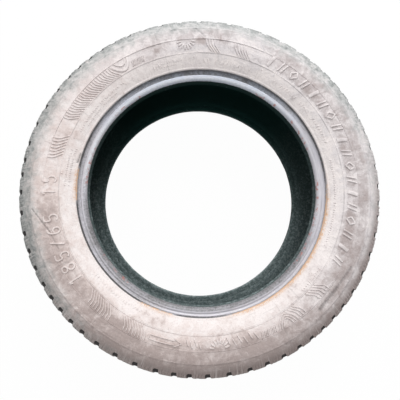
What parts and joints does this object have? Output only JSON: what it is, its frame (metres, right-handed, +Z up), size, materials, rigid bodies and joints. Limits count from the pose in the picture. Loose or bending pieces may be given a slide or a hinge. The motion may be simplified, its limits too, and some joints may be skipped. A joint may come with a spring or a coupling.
{
  "type": "worn car tyre",
  "caption": "Old worn passenger-car tyre without its rim: a hollow rubber ring with two beads, bulging dusty sidewalls and a grooved tread worn low.",
  "frame": {"origin": "centre of the tyre's footprint as it lies flat, on the surface that it rests on", "axes": "+Z up along the tyre's axis, towards the dusty outer sidewall; X and Y across it, with the plain size numbers of the visible sidewall towards -X"},
  "size_m": [0.6099, 0.61, 0.189],
  "materials": {
    "tyre": "old rubber, chalky and covered in pale dust, with rust stains round the rim line and a polished bead"
  },
  "bodies": {
    "root": {"tyre": "tyre"}
  },
  "joints": []
}
